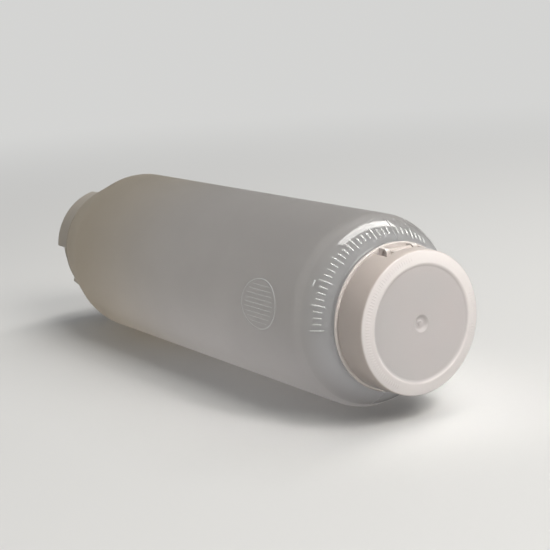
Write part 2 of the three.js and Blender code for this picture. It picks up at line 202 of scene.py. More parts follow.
outside = (
    rounded([
        (front_lip, NECK_BORE + 0.3),
        (front_lip, NECK_RADIUS, LIP_FILLET),
        (front_lip - LIP_LENGTH, NECK_RADIUS),
    ])
    + spaced(
        (front_lip - LIP_LENGTH, NECK_RADIUS), (FRONT_ROOT + NECK_FOOT, NECK_RADIUS), THREAD_STEP,
    )[1:]
    + rounded([
        (FRONT_ROOT + NECK_FOOT, NECK_RADIUS),
        (FRONT_ROOT, NECK_RADIUS, FOOT_FILLET),
        (FRONT_ROOT, FRONT_END_RADIUS, END_FILLET),
        (*SHOULDER_BEND, 26),
        (FRONT_ROOT - FRONT_SHOULDER, BARREL_RADIUS, 6),
        (80, BARREL_RADIUS),
    ])[1:]
    + spaced((80, BARREL_RADIUS), (-70, BARREL_RADIUS), 5)[1:]
    + rounded([
        (-70, BARREL_RADIUS),
        (BACK_ROOT + BACK_SHOULDER, BARREL_RADIUS, 12),
        (BACK_ROOT, BACK_END_RADIUS, END_FILLET),
        (BACK_ROOT, NECK_RADIUS, FOOT_FILLET),
        (BACK_ROOT - NECK_FOOT, NECK_RADIUS),
    ])[1:]
    + spaced(
        (BACK_ROOT - NECK_FOOT, NECK_RADIUS), (back_lip + LIP_LENGTH, NECK_RADIUS), THREAD_STEP,
    )[1:]
    + rounded([
        (back_lip + LIP_LENGTH, NECK_RADIUS),
        (back_lip, NECK_RADIUS, LIP_FILLET),
        (back_lip, NECK_BORE + 0.3),
    ])[1:]
)
inside = rounded([
    (back_lip, NECK_BORE),
    (BACK_ROOT + BOTTLE_WALL, NECK_BORE, FOOT_FILLET),
    (BACK_ROOT + BOTTLE_WALL, inner_end(BACK_END_RADIUS, back_slope), 0.6),
    (
        BACK_ROOT + BACK_SHOULDER + BOTTLE_WALL * math.tan(back_slope / 2),
        BARREL_RADIUS - BOTTLE_WALL,
        12,
    ),
    (FRONT_ROOT - FRONT_SHOULDER - 0.3, BARREL_RADIUS - BOTTLE_WALL, 3),
    (SHOULDER_BEND[0] - 0.7, SHOULDER_BEND[1] - 1.0, 12),
    (FRONT_ROOT - BOTTLE_WALL, inner_end(FRONT_END_RADIUS, front_slope), 0.6),
    (FRONT_ROOT - BOTTLE_WALL, NECK_BORE, FOOT_FILLET),
    (front_lip, NECK_BORE),
], step=0.8)


def bottle_skin(index, x, radius, turn):
    """The blown shell's outside carries the parting line, higher on the shoulders, and its necks
    the threads."""
    if index >= len(outside):
        return x, radius
    from_line = abs((turn - PARTING_TURN + 90) % 180 - 90)
    ridge = PARTING_HEIGHT if from_line < PARTING_HALF_ANGLE else 0
    if radius > NECK_RADIUS + 0.01:
        on_shoulder = min(1.5, max(0, BARREL_RADIUS - radius))
        return x, radius + ridge * (1 + on_shoulder)
    if x > 0:
        thread = thread_height(x, turn, first=FRONT_ROOT + 2.0, last=front_lip - 0.7)
    else:
        thread = thread_height(x, turn, first=back_lip + 0.7, last=BACK_ROOT - 2.4)
    return x, radius + max(thread, ridge)


bottle = turned(
    "bottle_shell", outside + inside, around(192, parting_edges), bottle_skin, crease=40,
)


def material(name, colour, roughness):
    """A plastic or rubber with one Principled shader. Its looks are built up where it is made."""
    made = bpy.data.materials.new(name)
    made.use_nodes = True
    shader = made.node_tree.nodes["Principled BSDF"]
    shader.inputs["Base Color"].default_value = (*colour, 1)
    shader.inputs["Roughness"].default_value = roughness
    return made, made.node_tree, shader


def node(tree, kind, **inputs):
    """A shader node with some of its inputs set."""
    made = tree.nodes.new(kind)
    for key, value in inputs.items():
        made.inputs[key.replace("_", " ")].default_value = value
    return made


def noise(tree, scale, detail, roughness=0.5):
    """Noise that lies still in the piece, in its own metres."""
    place = tree.nodes.new("ShaderNodeTexCoord")
    made = node(tree, "ShaderNodeTexNoise", Scale=scale, Detail=detail, Roughness=roughness)
    tree.links.new(place.outputs["Object"], made.inputs["Vector"])
    return made.outputs["Fac"]


def blend_colours(tree, share, first, second):
    """A colour between two, by a share from another node."""
    made = tree.nodes.new("ShaderNodeMix")
    made.data_type = "RGBA"
    for socket, colour in ((made.inputs[6], first), (made.inputs[7], second)):
        if isinstance(colour, tuple):
            socket.default_value = (*colour, 1)
        else:
            tree.links.new(colour, socket)
    tree.links.new(share, made.inputs[0])
    return made.outputs[2]


def multiplied(tree, first, second):
    """One colour times another."""
    made = tree.nodes.new("ShaderNodeMix")
    made.data_type = "RGBA"
    made.blend_type = "MULTIPLY"
    made.inputs[0].default_value = 1
    tree.links.new(first, made.inputs[6])
    tree.links.new(second, made.inputs[7])
    return made.outputs[2]


def ranged(tree, value, low, high, to_low=0.0, to_high=1.0):
    """A value carried smoothly from one range to another."""
    made = tree.nodes.new("ShaderNodeMapRange")
    made.interpolation_type = "SMOOTHSTEP"
    made.inputs["From Min"].default_value = low
    made.inputs["From Max"].default_value = high
    made.inputs["To Min"].default_value = to_low
    made.inputs["To Max"].default_value = to_high
    tree.links.new(value, made.inputs["Value"])
    return made.outputs["Result"]


def let_light_through(tree, shader, share, colour):
    """Mixes in a share of light that comes through the wall from behind."""
    through = tree.nodes.new("ShaderNodeBsdfTranslucent")
    tree.links.new(colour, through.inputs["Color"])
    both = tree.nodes.new("ShaderNodeMixShader")
    both.inputs[0].default_value = share
    tree.links.new(shader.outputs["BSDF"], both.inputs[1])
    tree.links.new(through.outputs["BSDF"], both.inputs[2])
    return both


def polished(tree, under, roughness, strength):
    """Puts a clear gloss over a shader. Its strength is a share of a bare plastic face's."""
    clear = tree.nodes.new("ShaderNodeBsdfGlossy")
    clear.name = "clear gloss"
    tree.links.new(roughness, clear.inputs["Roughness"])
    mirrored = tree.nodes.new("ShaderNodeMath")
    mirrored.operation = "MULTIPLY"
    tree.links.new(node(tree, "ShaderNodeFresnel", IOR=1.5).outputs["Fac"], mirrored.inputs[0])
    if isinstance(strength, float):
        mirrored.inputs[1].default_value = strength
    else:
        tree.links.new(strength, mirrored.inputs[1])
    surface = tree.nodes.new("ShaderNodeMixShader")
    tree.links.new(mirrored.outputs["Value"], surface.inputs[0])
    tree.links.new(under.outputs["Shader"], surface.inputs[1])
    tree.links.new(clear.outputs["BSDF"], surface.inputs[2])
    tree.links.new(surface.outputs["Shader"], tree.nodes["Material Output"].inputs["Surface"])


def bumped(tree, shader, layers):
    """Fine relief from layers of (height, distance in metres, strength)."""
    last = None
    for height, distance, strength in layers:
        bump = node(tree, "ShaderNodeBump", Strength=strength, Distance=distance)
        tree.links.new(height, bump.inputs["Height"])
        if last:
            tree.links.new(last, bump.inputs["Normal"])
        last = bump.outputs["Normal"]
    tree.links.new(last, shader.inputs["Normal"])
    if "clear gloss" in tree.nodes:
        tree.links.new(last, tree.nodes["clear gloss"].inputs["Normal"])


# Milky polyethylene. Most light goes through the thin wall and comes out again all round, so
# the bottle glows evenly: grey, with painted warm light towards the far end, cooler and painted
# paler at the near shoulder to make up for the shade inside it, and painted paler on the low
# side, a painted glow. The mould left the barrel satin and the near shoulder glossy.
GREY = (0.8, 0.791, 0.793)
PAINTED_WARM_LIGHT = (0.794, 0.763, 0.718)
COOL_AND_PAINTED_PALE = (0.949, 0.95, 0.967)
# Between which places, in metres along the bottle or up from the floor, one look becomes another
PAINTED_WARM_LIGHT_TO_GREY = (-0.1, 0.01)
GREY_TO_COOL_AND_PAINTED_PALE = (0.098, 0.106)
SATIN_TO_GLOSS = (0.0965, 0.0995)
PAINTED_LOW_GLOW_TO_NONE = (0.018, 0.045)
milky, tree, shader = material("milky_polyethylene", (0.6, 0.57, 0.54), 0.42)
place = tree.nodes.new("ShaderNodeTexCoord")
split = tree.nodes.new("ShaderNodeSeparateXYZ")
tree.links.new(place.outputs["Object"], split.inputs["Vector"])
along = split.outputs["X"]
# Painted warm light: the grey turns warmer towards the far end.
grey_and_painted_warm_light = blend_colours(tree, ranged(tree, along, *PAINTED_WARM_LIGHT_TO_GREY), PAINTED_WARM_LIGHT, GREY)
# Cooler at the near shoulder, and painted paler there, painted light that makes up for the shade
# inside it.
whole_with_painted_light = blend_colours(tree, ranged(tree, along, *GREY_TO_COOL_AND_PAINTED_PALE), grey_and_painted_warm_light, COOL_AND_PAINTED_PALE)
clouds = ranged(tree, noise(tree, 38, 3.0, 0.55), 0.3, 0.7)
cloudy = blend_colours(tree, clouds, (0.975, 0.975, 0.975), (1.0, 1.0, 1.0))
# Painted glow: paler low down, towards the floor, and darker higher up.
painted_low_glow_share = ranged(tree, split.outputs["Z"], *PAINTED_LOW_GLOW_TO_NONE)
painted_low_glow = blend_colours(tree, painted_low_glow_share, (1.0, 1.0, 1.0), (0.944, 0.944, 0.934))
tone_and_painted_light = multiplied(tree, multiplied(tree, whole_with_painted_light, cloudy), painted_low_glow)
tree.links.new(tone_and_painted_light, shader.inputs["Base Color"])
satin = ranged(tree, along, *SATIN_TO_GLOSS, 0.45, 0.07)
tree.links.new(satin, shader.inputs["Roughness"])
shader.inputs["IOR"].default_value = 1.51
glow = let_light_through(tree, shader, 0.95, tone_and_painted_light)
polished(tree, glow, satin, ranged(tree, along, *SATIN_TO_GLOSS, 0.1, 1.0))
bumped(tree, shader, [
    (noise(tree, 60, 2.0), 0.0006, 0.1),
    (noise(tree, 420, 2.0), 0.00004, 0.15),
])
bottle.data.materials.append(milky)
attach(bottle, "bottle")
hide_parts("bottle_body", "front_neck", "back_neck")


# Raised marks on the bottle, moulded with it in the same plastic: an oval with fine ribs on
# the barrel, a ring of ticks round the near shoulder, and one that shows where they start.


def barrel_point(x, turn, height):
    """A place on the outside of the bottle between its necks, height above the skin."""
    for (x0, r0), (x1, r1) in zip(outside, outside[1:]):
        on_barrel = min(r0, r1) > NECK_RADIUS + 1
        if on_barrel and x0 != x1 and min(x0, x1) <= x <= max(x0, x1):
            share = (x - x0) / (x1 - x0)
            tilt = math.atan2(r1 - r0, x0 - x1)
            radius = r0 + (r1 - r0) * share + height * math.cos(tilt)
            return on_axis(x + height * math.sin(tilt), radius, turn)
    raise ValueError(f"no skin at {x}")


def bead_along(build, places, lifted, width, closed):
    """A low bead, round on top, along places on a skin. lifted are the same places, further out,
    and width is in metres."""
    count = len(places)
    rings = []
    for k in range(count):
        before = places[k - 1] if closed or k > 0 else places[k]
        after = places[(k + 1) % count] if closed or k < count - 1 else places[k]
        along = (after - before).normalized()
        up = (lifted[k] - places[k]).normalized()
        side = along.cross(up).normalized()
        height = (lifted[k] - places[k]).length
        ring = []
        for angle in (-35, 0, 30, 60, 90, 120, 150, 180, 215):
            a = math.radians(angle)
            ring.append(build.verts.new(
                places[k] + side * (width / 2 * math.cos(a)) + up * (height * math.sin(a))
            ))
        rings.append(ring)
    for k in range(count if closed else count - 1):
        low = rings[k]
        high = rings[(k + 1) % count]
        for j in range(len(low)):
            after = (j + 1) % len(low)
            build.faces.new((low[j], low[after], high[after], high[j]))
    if not closed:
        build.faces.new(rings[0])
        build.faces.new(list(reversed(rings[-1])))


def raised_line(build, run, depth, heights, width, closed=False):
    """A bead over (x, turn) places on the bottle's skin, sunk into it by a depth. Its width is
    in metres."""
    bead_along(
        build,
        [barrel_point(x, turn, -depth) for x, turn in run],
        [barrel_point(x, turn, height) for (x, turn), height in zip(run, heights)],
        width, closed,
    )


def patchy(tree, shader, scale, detail, first, second):
    """Colours a shader between two close shades in soft patches."""
    shade = blend_colours(tree, ranged(tree, noise(tree, scale, detail), 0.3, 0.7), first, second)
    tree.links.new(shade, shader.inputs["Base Color"])
    return shade


# The raised marks are painted paler than the bottle's plastic, a painted glint for the light their
# edges catch
raised, tree, shader = material("raised_polyethylene_painted_glint", (0.86, 0.86, 0.86), 0.2)
pale = patchy(tree, shader, 150, 2.0, (0.86, 0.86, 0.85), (0.92, 0.92, 0.91))
glossy = ranged(tree, noise(tree, 500, 2.0), 0.3, 0.7, 0.16, 0.24)
tree.links.new(glossy, shader.inputs["Roughness"])
polished(tree, let_light_through(tree, shader, 0.5, pale), glossy, 1.0)

OVAL_PLACE = 72.7
OVAL_TURN = 81.5
OVAL_HALF_LENGTH = 11.4
OVAL_HALF_WIDTH = 9.4
RIB_SPACING = 1.75
RIB_MARGIN = 2.0
build = bmesh.new()
oval = []
for k in range(96):
    angle = math.tau * k / 96
    x = OVAL_PLACE + OVAL_HALF_LENGTH * math.cos(angle)
    sideways = OVAL_HALF_WIDTH * math.sin(angle)
    oval.append((x, OVAL_TURN + math.degrees(sideways / BARREL_RADIUS)))
raised_line(build, oval, depth=0.06, heights=[MARK_HEIGHT] * 96, width=0.0007, closed=True)
for k in range(-4, 5):
    turn = OVAL_TURN + math.degrees(RIB_SPACING * k / BARREL_RADIUS)
    reach = math.sqrt(1 - (RIB_SPACING * k / OVAL_HALF_WIDTH) ** 2)
    half = OVAL_HALF_LENGTH * reach - RIB_MARGIN
    run = [(OVAL_PLACE + half * (j / 8 - 1), turn) for j in range(17)]
    raised_line(build, run, depth=0.04, heights=[0.01] + [0.05] * 15 + [0.01], width=0.0005)
marks = mesh_piece("barrel_oval", build, crease=60)
marks.data.materials.append(raised)
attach(marks, "bottle")

FIRST_TICK = 91
TICK_SPACING = 4.15
TICK_DEPTH = 0.08
TICK_WIDTH = 0.0008
build = bmesh.new()
for k in range(32):
    turn = FIRST_TICK - TICK_SPACING * k
    if abs(turn - PARTING_TURN) < 3:
        continue
    inner = 105.2 if k % 4 == 0 else 104.5
    outer = 101.2 if k % 4 == 0 else 102.0
    run = [(inner + (outer - inner) * j / 6, turn) for j in range(7)]
    heights = (0.02, 0.24, 0.27, 0.27, 0.27, 0.24, 0.02)
    raised_line(build, run, TICK_DEPTH, heights, TICK_WIDTH)
run = [(100.1, 63.2 - 0.75 * j) for j in range(7)]
raised_line(build, run, TICK_DEPTH, (0.02, 0.2, 0.24, 0.24, 0.24, 0.2, 0.02), TICK_WIDTH)
marks = mesh_piece("shoulder_ticks", build, crease=60)
marks.data.materials.append(raised)
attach(marks, "bottle")


# Dispensing collar. Injection-moulded in pinkish white polypropylene: a flanged drum that
# screws on the near neck, with a deck round the orifice, a boss that holds the valve and two
# ears for the lid's hinge.

COLLAR_BORE = 21.4
COLLAR_RADIUS = 22.9
FLANGE_RADIUS = 27.7
FLANGE_FRONT = 2.5
FLANGE_BACK = 1.1
FLANGE_FILLET = 0.68
DECK_FRONT = 12.5
DECK_UNDERSIDE = 11.0
SNAP_BEAD = (2.9, 6.0)
HINGE_AXIAL = 5.3
HINGE_HEIGHT = 24.9


def front_points(points):
    """Profile points given outward from the near shoulder, set in their place along the bottle."""
    return [(FRONT_ROOT + along, radius) for along, radius in points]


def boolean(piece, tool, operation):
    """Cuts or joins a piece with a tool, exactly, and removes the tool."""
    step = piece.modifiers.new(operation, "BOOLEAN")
    step.operation = operation
    step.solver = "EXACT"
    step.object = tool
    bpy.context.view_layer.update()
    graph = bpy.context.evaluated_depsgraph_get()
    result = bpy.data.meshes.new_from_object(piece.evaluated_get(graph))
    piece.modifiers.clear()
    old = piece.data
    piece.data = result
    bpy.data.meshes.remove(old)
    bpy.data.objects.remove(tool)


def recreased(piece, crease=32):
    """Marks the edges again after cuts."""
    piece.data.shade_smooth()
    piece.data.set_sharp_from_angle(angle=math.radians(crease))


def hinge_rod(radius, length):
    """A round rod across the bottle on the hinge's axis, with a small chamfer at its ends."""
    build = bmesh.new()
    sides = 40
    chamfer = min(0.15, radius / 4)
    rings = []
    for y, r in (
        (-length / 2, radius - chamfer), (-length / 2 + chamfer, radius),
        (length / 2 - chamfer, radius), (length / 2, radius - chamfer),
    ):
        ring = []
        for k in range(sides):
            a = math.tau * k / sides
            x = FRONT_ROOT + HINGE_AXIAL + r * math.cos(a)
            z = AXIS_HEIGHT + HINGE_HEIGHT + r * math.sin(a)
            ring.append(build.verts.new(Vector((x, y, z)) / 1000))
        rings.append(ring)
    for low, high in zip(rings, rings[1:]):
        for k in range(sides):
            after = (k + 1) % sides
            build.faces.new((low[k], low[after], high[after], high[k]))
    build.faces.new(rings[0])
    build.faces.new(list(reversed(rings[-1])))
    return mesh_piece("rod", build)


def plate(outline, low_y, high_y):
    """A flat plate from an outline of (along, height), standing across the bottle."""
    build = bmesh.new()
    near, far = [
        [build.verts.new(Vector((FRONT_ROOT + a, y, AXIS_HEIGHT + h)) / 1000) for a, h in outline]
        for y in (low_y, high_y)
    ]
    build.faces.new(near)
    build.faces.new(list(reversed(far)))
    for k in range(len(outline)):
        after = (k + 1) % len(outline)
        build.faces.new((near[k], far[k], far[after], near[after]))
    return mesh_piece("plate", build)


def ring_sector(root, outward, inner, outer, half_angle, centre, start, end):
    """A sector of a ring round the axis, between two places outward from a shoulder."""
    build = bmesh.new()
    steps = 36
    rows = []
    for k in range(steps + 1):
        turn = centre - half_angle + 2 * half_angle * k / steps
        rows.append([
            build.verts.new(on_axis(root + outward * along, radius, turn))
            for along, radius in ((start, inner), (start, outer), (end, outer), (end, inner))
        ])
    for low, high in zip(rows, rows[1:]):
        for j in range(4):
            build.faces.new((low[j], low[(j + 1) % 4], high[(j + 1) % 4], high[j]))
    build.faces.new(rows[0])
    build.faces.new(list(reversed(rows[-1])))
    return mesh_piece("sector", build)


collar_outside = rounded([
    (DECK_FRONT, 6.8, 0.3),
    (DECK_FRONT, COLLAR_RADIUS, 1.0),
    (SNAP_BEAD[1], COLLAR_RADIUS + 0.12, 0.3),
    (4.4, 24.3, 0.5),
    (SNAP_BEAD[0], COLLAR_RADIUS + 0.2, 0.3),
    (FLANGE_FRONT, COLLAR_RADIUS + 0.2, 0.2),
    (FLANGE_FRONT, FLANGE_RADIUS, FLANGE_FILLET),
    (FLANGE_BACK, FLANGE_RADIUS, FLANGE_FILLET),
    (FLANGE_BACK, COLLAR_BORE + 0.4),
    (1.5, COLLAR_BORE),
], step=0.2)
collar_bore = spaced((1.5, COLLAR_BORE), (9.6, COLLAR_BORE), THREAD_STEP)[1:]
collar_inside = rounded([
    (DECK_UNDERSIDE, COLLAR_BORE, 0.4),
    (DECK_UNDERSIDE, 11.4, 0.3),
    (5.3, 11.4, 0.3),
    (5.3, 10.25, 0.2),
    (6.3, 9.4, 0.15),
    (6.9, 9.4, 0.15),
    (7.4, 10.0, 0.1),
    (DECK_UNDERSIDE, 10.0),
    (DECK_UNDERSIDE, 6.5),
], step=0.2)


SNAP_START = 58
SNAP_FULL = 62
snap_edges = (SNAP_START, SNAP_FULL, 360 - SNAP_START, 360 - SNAP_FULL)


def snap_share(turn):
    """0 beside the hinge, where the snap beads are left out, and 1 away from it."""
    from_top = min(turn, 360 - turn)
    return max(0, min(1, (from_top - SNAP_START) / (SNAP_FULL - SNAP_START)))


def collar_skin(index, x, radius, turn):
    """The bore's thread meets the neck's half a pitch away. The drum carries a snap bead."""
    first = len(collar_outside)
    along = x - FRONT_ROOT
    if first <= index < first + len(collar_bore):
        radius -= thread_height(
            x, turn, first=FRONT_ROOT + 2.0, last=FRONT_ROOT + 9.2, shift=0.5,
        )
    elif index < first and SNAP_BEAD[0] + 0.05 < along < SNAP_BEAD[1] and radius < 25:
        plain = COLLAR_RADIUS + 0.2 * (1 - along / DECK_FRONT)
        radius = plain + (radius - plain) * snap_share(turn)
    return x, radius


collar = turned(
    "dispensing_collar_moulding",
    front_points(collar_outside + collar_bore + collar_inside),
    around(144, snap_edges),
    collar_skin,
)
EAR_ROUNDING = 1.8
EAR_INSIDE = 5.2
EAR_OUTSIDE = 7.0
EAR_BACK = 1.8
EAR_FOOT = 22.2
for side in (-1, 1):
    nose = [
        (
            HINGE_AXIAL + EAR_ROUNDING * math.cos(math.radians(a)),
            HINGE_HEIGHT + EAR_ROUNDING * math.sin(math.radians(a)),
        )
        for a in range(0, 91, 9)
    ]
    ear = plate(
        [(EAR_BACK, EAR_FOOT), (HINGE_AXIAL + 3.2, EAR_FOOT),
         (HINGE_AXIAL + EAR_ROUNDING, HINGE_HEIGHT - 0.9), *nose,
         (EAR_BACK, HINGE_HEIGHT + EAR_ROUNDING)],
        *sorted((side * EAR_INSIDE, side * EAR_OUTSIDE)),
    )
    boolean(collar, ear, "UNION")
boolean(collar, hinge_rod(radius=1.05, length=19), "DIFFERENCE")

SCOOP_RADIUS = 9
SCOOP_FROM_FLANGE = 8.1
SCOOP_TOP = 24.4
SCOOP_DEPTH = 20
build = bmesh.new()
bmesh.ops.create_cone(
    build, cap_ends=True, segments=160,
    radius1=SCOOP_RADIUS / 1000, radius2=SCOOP_RADIUS / 1000, depth=SCOOP_DEPTH / 1000,
    matrix=Matrix.Translation(Vector((
        FRONT_ROOT + FLANGE_FRONT + SCOOP_FROM_FLANGE, 0, AXIS_HEIGHT - SCOOP_TOP - SCOOP_DEPTH / 2,
    )) / 1000),
)
boolean(collar, mesh_piece("thumb_scoop", build), "DIFFERENCE")
recreased(collar)


# Where the painted shade on the outer wall ends and the lid's ring starts, in metres, as the
# material sees them
PAINTED_WALL_SHADE_END = 0.1234
PAINTED_WALL_SHADE_FADE = 0.0006
RING_START = (0.0207, 0.0217)


def closure_plastic(name, low, high, share, gloss=0.8, painted_wall_shade=None, painted_wall_shade_from=0.0254, ring=None):
    """Satin polypropylene between two close shades. Its outer wall behind the lid's front can be
    painted darker, a painted shade, and the lid's ring can take its own paler colour."""
    made, tree, shader = material(name, high, 0.31)
    shade = blend_colours(tree, ranged(tree, noise(tree, 35, 1.0), 0.15, 0.85), low, high)
    # Painted shade: the outer wall behind the lid's front turns darker.
    if painted_wall_shade:
        place = tree.nodes.new("ShaderNodeTexCoord")
        split = tree.nodes.new("ShaderNodeSeparateXYZ")
        tree.links.new(place.outputs["Object"], split.inputs["Vector"])
        from_axis = tree.nodes.new("ShaderNodeVectorMath")
        from_axis.operation = "MULTIPLY_ADD"
        from_axis.inputs[1].default_value = (0, 1, 1)
        from_axis.inputs[2].default_value = (0, 0, -AXIS_HEIGHT / 1000)
        tree.links.new(place.outputs["Object"], from_axis.inputs[0])
        length = tree.nodes.new("ShaderNodeVectorMath")
        length.operation = "LENGTH"
        tree.links.new(from_axis.outputs["Vector"], length.inputs[0])
        radius = length.outputs["Value"]
        if ring:
            shade = blend_colours(tree, ranged(tree, radius, *RING_START), shade, ring)
        behind = ranged(tree, split.outputs["X"], PAINTED_WALL_SHADE_END - PAINTED_WALL_SHADE_FADE, PAINTED_WALL_SHADE_END, 1, 0)
        painted_wall_shade_mask = tree.nodes.new("ShaderNodeMath")
        painted_wall_shade_mask.operation = "MULTIPLY"
        outer = ranged(tree, radius, painted_wall_shade_from, painted_wall_shade_from + PAINTED_WALL_SHADE_FADE)
        tree.links.new(outer, painted_wall_shade_mask.inputs[0])
        tree.links.new(behind, painted_wall_shade_mask.inputs[1])
        shade = blend_colours(tree, painted_wall_shade_mask.outputs["Value"], shade, painted_wall_shade)
    tree.links.new(shade, shader.inputs["Base Color"])
    satin = ranged(tree, noise(tree, 60, 1.0), 0.15, 0.85, 0.29, 0.34)
    tree.links.new(satin, shader.inputs["Roughness"])
    shader.inputs["IOR"].default_value = 1.49
    polished(tree, let_light_through(tree, shader, share, shade), satin, gloss)
    bumped(tree, shader, [(noise(tree, 60, 2.0), 0.0002, 0.04)])
    return made


# Pinkish white polypropylene: satin, faintly patchy, and thin enough to let some light through.
# Its flange and the tops of its ears are painted darker, a painted shade.
collar.data.materials.append(closure_plastic(
    "pinkish_white_polypropylene", (0.92, 0.87, 0.845), (0.93, 0.88, 0.86), share=0.15,
    painted_wall_shade=(0.64, 0.585, 0.55), painted_wall_shade_from=0.0247,
))
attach(collar, "collar")
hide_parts("dispensing_collar")


# Collar gasket. A punched ring of soft white foam that lies under the collar's deck and seals
# on the neck's lip.

gasket = turned("foam_gasket", front_points(rounded([
    (9.7, 18.2, 0.15), (9.7, 20.6, 0.15), (10.7, 20.6, 0.15), (10.7, 18.2, 0.15),
], step=0.1)), around(128))
foam, tree, shader = material("foam_liner", (0.85, 0.83, 0.79), 0.85)
cells = node(tree, "ShaderNodeTexVoronoi", Scale=4200)
place = tree.nodes.new("ShaderNodeTexCoord")
tree.links.new(place.outputs["Object"], cells.inputs["Vector"])
patchy(tree, shader, 400, 3.0, (0.8, 0.78, 0.73), (0.88, 0.86, 0.83))
bumped(tree, shader, [(cells.outputs["Distance"], 0.00006, 0.5)])
gasket.data.materials.append(foam)
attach(gasket, "collar_lift")
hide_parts("collar_gasket")


# Slit valve. Cloudy clear silicone rubber: a flange, a thin sleeve and a dished head with
# two crossed slits that open when the bottle is squeezed.

valve = turned("slit_valve_rubber", front_points(rounded([
    (8.3, 0), (8.3, 2.5, 2.5), (9.5, 5.0, 0.9), (10.7, 5.95, 0.9), (10.7, 9.6, 0.2),
    (9.5, 9.6, 0.2), (9.5, 6.4, 0.3), (8.6, 5.45, 0.9), (7.4, 2.5, 2.5), (7.4, 0),
], step=0.12)), around(96))
SLIT_WIDTH = 0.35
SLIT_LENGTH = 6.4
SLIT_DEPTH = 6
SLIT_PLACE = 7.9
for across, upright in ((SLIT_WIDTH, SLIT_LENGTH), (SLIT_LENGTH, SLIT_WIDTH)):
    build = bmesh.new()
    bmesh.ops.create_cube(build, size=1)
    size = (SLIT_DEPTH / 1000, across / 1000, upright / 1000)
    bmesh.ops.scale(build, vec=size, verts=build.verts)
    centre = Vector((FRONT_ROOT + SLIT_PLACE, 0, AXIS_HEIGHT)) / 1000
    bmesh.ops.translate(build, vec=centre, verts=build.verts)
    boolean(valve, mesh_piece("slit", build), "DIFFERENCE")
recreased(valve)
rubber, tree, shader = material("cloudy_silicone", (0.7, 0.71, 0.72), 0.28)
patchy(tree, shader, 180, 2.0, (0.66, 0.67, 0.69), (0.74, 0.75, 0.76))
shader.inputs["Subsurface Weight"].default_value = 0.5
shader.inputs["Subsurface Radius"].default_value = (1.0, 1.0, 1.0)
shader.inputs["Subsurface Scale"].default_value = 0.0015
bumped(tree, shader, [(noise(tree, 1500, 2.0), 0.00002, 0.3)])
valve.data.materials.append(rubber)
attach(valve, "collar")
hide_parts("slit_valve")


# Valve retainer. A white polypropylene ring that snaps into the collar's boss behind the
# valve and clamps its flange.

retainer = turned("valve_retainer_ring", front_points(rounded([
    (7.2, 6.9, 0.5), (7.2, 9.7, 0.5), (9.2, 9.7, 0.15), (9.2, 6.9, 0.15),
], step=0.1)), around(96))
ring_white, tree, shader = material("white_polypropylene", (0.85, 0.83, 0.81), 0.4)
patchy(tree, shader, 120, 2.0, (0.82, 0.8, 0.78), (0.88, 0.86, 0.84))
bumped(tree, shader, [(noise(tree, 900, 2.0), 0.00002, 0.25)])
retainer.data.materials.append(ring_white)
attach(retainer, "collar")
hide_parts("valve_retainer")


# Flip lid. One moulding in the collar's plastic: a deep cap whose face is recessed inside a
# raised ring, with the gate's dimple at its centre and a plug inside that shuts the orifice.
# A bar and two stubs at the top turn in the collar's ears.

LID_FACE = 17.1
RECESS_FLOOR = 16.2
LID_BORE = 25.25


def ring_face(radius):
    """How far out the lid's ring stands. It falls away a little towards the lid's wall."""
    return LID_FACE - 0.12 - 0.25 * (radius - 21.6)


lid_face = rounded([
    (RECESS_FLOOR - 0.4, 0),
    (RECESS_FLOOR - 0.4, 0.8, 0.25),
    (RECESS_FLOOR - 0.95, 1.15, 0.3),
    (RECESS_FLOOR - 0.95, 2.1, 0.8),
    (RECESS_FLOOR, 3.2, 0.35),
    (RECESS_FLOOR, 20.6, 1.2),
    (ring_face(21.8), 21.8, 0.9),
    (ring_face(26.4), 26.4, 0.9),
    (2.7, 26.9, 0.25),
    (2.7, 25.3, 0.2),
    (3.3, LID_BORE, 0.1),
    (3.7, 24.9, 0.1),
    (4.4, LID_BORE, 0.3),
    (15.3, 24.9, 1.0),
    (15.3, 22.2, 0.3),
    (14.6, 21.6, 0.3),
    (14.6, 6.3, 0.2),
    (11.6, 6.1, 0.25),
    (11.6, 5.2, 0.25),
    (14.6, 5.2, 0.2),
    (14.6, 0),
], step=0.2)
bead_points = [
    k for k, (along, radius) in enumerate(lid_face) if 3.3 < along < 4.3 and 24 < radius < 25.3
]


def lid_skin(index, x, radius, turn):
    """The lid carries a snap bead inside."""
    if index in bead_points:
        radius = LID_BORE + (radius - LID_BORE) * snap_share(turn)
    return x, radius


lid = turned("flip_lid_moulding", front_points(lid_face), around(168, snap_edges), lid_skin)
pocket = ring_sector(
    FRONT_ROOT, 1, inner=COLLAR_RADIUS, outer=28.7, half_angle=21, centre=0, start=1.9, end=10.2,
)
boolean(lid, pocket, "DIFFERENCE")
hinge_bar = hinge_rod(radius=1.5, length=9.8)
boolean(hinge_bar, hinge_rod(radius=0.75, length=13.6), "UNION")
ARM_INSIDE = 2.9
ARM_OUTSIDE = 4.9
ARM_END = 11.0
ARM_HALF_HEIGHT = 0.7
for side in (-1, 1):
    arm = plate(
        [(HINGE_AXIAL, HINGE_HEIGHT - ARM_HALF_HEIGHT), (ARM_END, HINGE_HEIGHT - ARM_HALF_HEIGHT),
         (ARM_END, HINGE_HEIGHT + ARM_HALF_HEIGHT), (HINGE_AXIAL, HINGE_HEIGHT + ARM_HALF_HEIGHT)],
        *sorted((side * ARM_INSIDE, side * ARM_OUTSIDE)),
    )
    boolean(hinge_bar, arm, "UNION")
boolean(lid, hinge_bar, "UNION")
recreased(lid)
lid.data.materials.clear()
